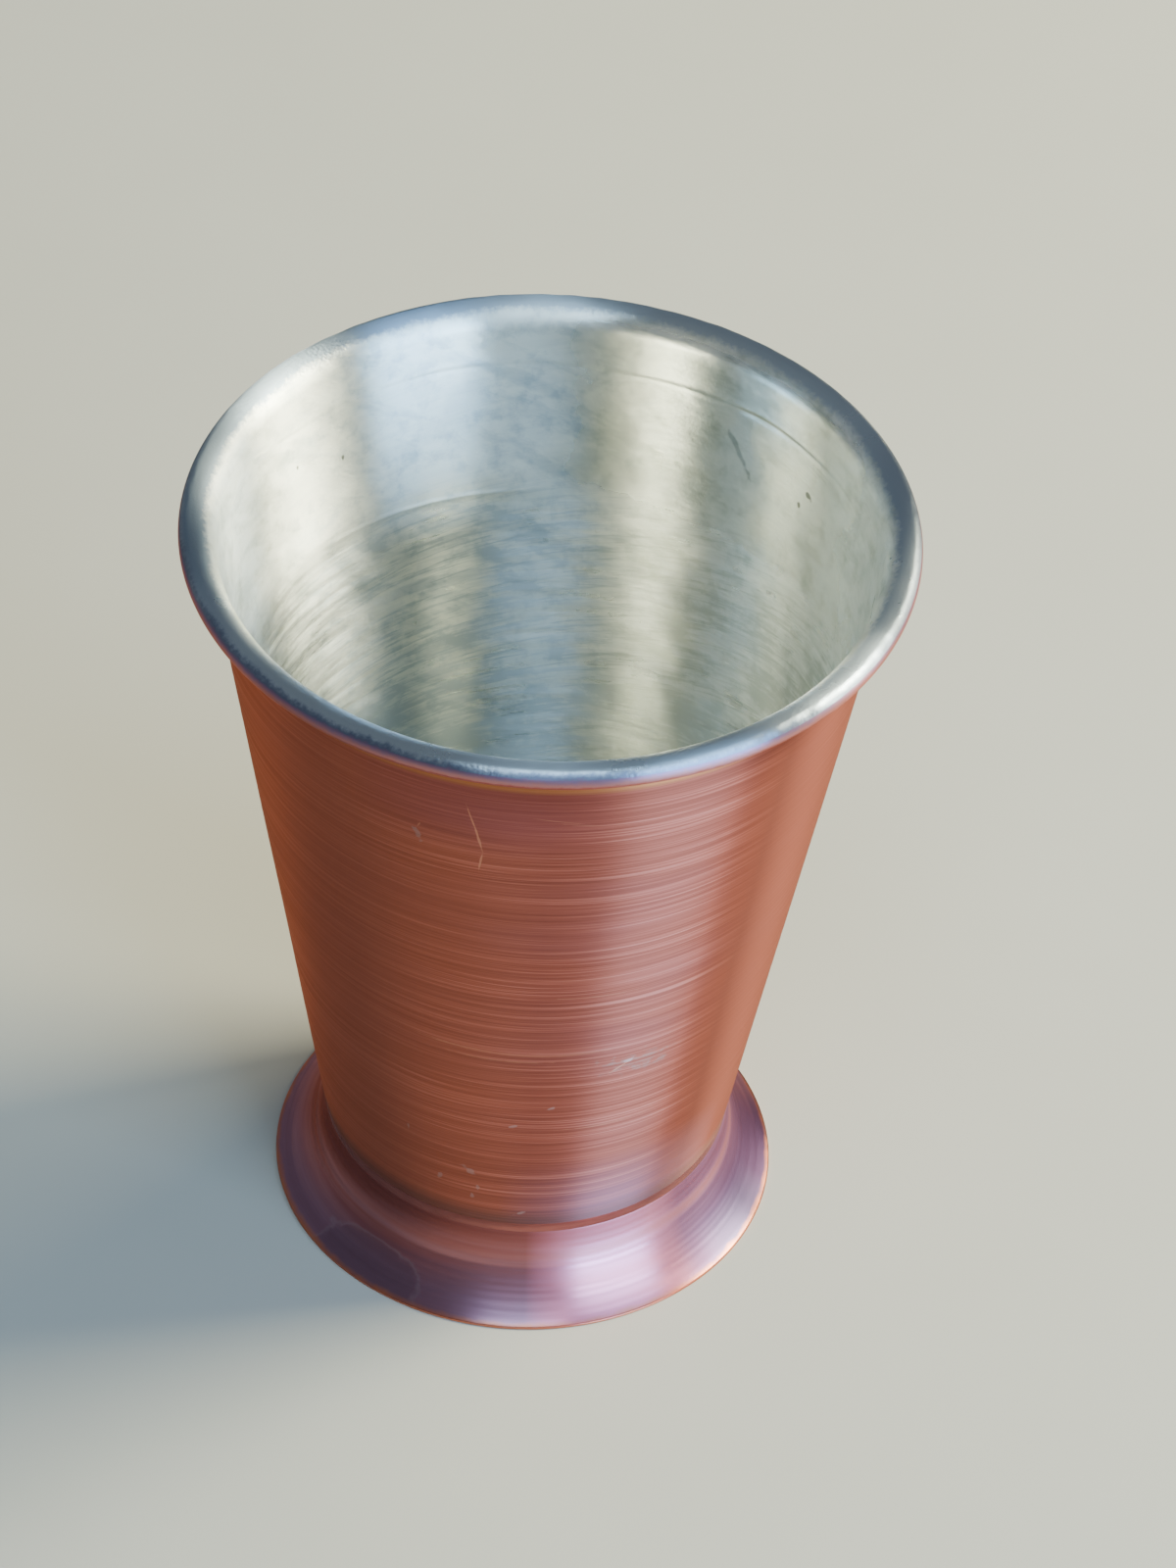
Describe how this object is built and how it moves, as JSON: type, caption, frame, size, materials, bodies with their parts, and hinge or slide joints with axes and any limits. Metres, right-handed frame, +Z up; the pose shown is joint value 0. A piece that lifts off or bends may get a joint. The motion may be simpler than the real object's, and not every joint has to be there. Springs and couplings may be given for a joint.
{
  "type": "footed tumbler",
  "caption": "Footed copper drinking cup with a tapered wall, a rolled lip, a tin-lined inside and a flared foot soldered on at the waist.",
  "frame": {"origin": "centre of the circle that the foot stands on, in the plane of the standing edge", "axes": "+Z up along the cup's axis, out of the mouth; X and Y are equivalent, because every part is turned about Z"},
  "size_m": [0.088, 0.088, 0.1065],
  "materials": {
    "brushed_copper": "satin red-brown copper, brushed round the wall",
    "foot_copper": "satin copper with a violet heat tint",
    "solder": "dull copper-coloured solder, dressed flush",
    "tin": "wiped tin, satin, with a faint green-yellow cast"
  },
  "bodies": {
    "root": {"cup_shell": "brushed_copper", "foot_ring": "foot_copper", "solder_seam": "solder", "tin_lining": "tin"}
  },
  "joints": []
}
